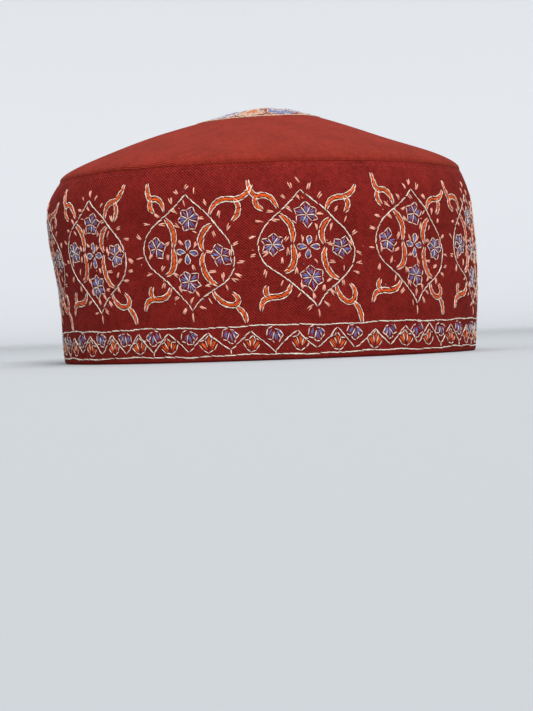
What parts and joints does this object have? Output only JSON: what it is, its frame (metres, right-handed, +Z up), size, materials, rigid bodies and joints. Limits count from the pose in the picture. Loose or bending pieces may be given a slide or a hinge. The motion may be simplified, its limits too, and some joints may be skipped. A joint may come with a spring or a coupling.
{
  "type": "embroidered cap",
  "caption": "Round wool cap with a tall upright side band, a softly domed crown and an open underside for the head, embroidered all round.",
  "frame": {"origin": "middle of the cap's box in plan, on the plane of the rim", "axes": "+Z up through the crown, -Y towards the front of the cap, +X to the right as the front is looked at"},
  "size_m": [0.1902, 0.193, 0.1107],
  "materials": {
    "band_wool": "matt wool twill with embroidery",
    "crown_wool": "matt wool twill with an embroidered rosette",
    "lining": "matt plain weave"
  },
  "bodies": {
    "root": {"side_band": "band_wool", "crown_panel": "crown_wool", "band_lining": "lining"}
  },
  "joints": []
}
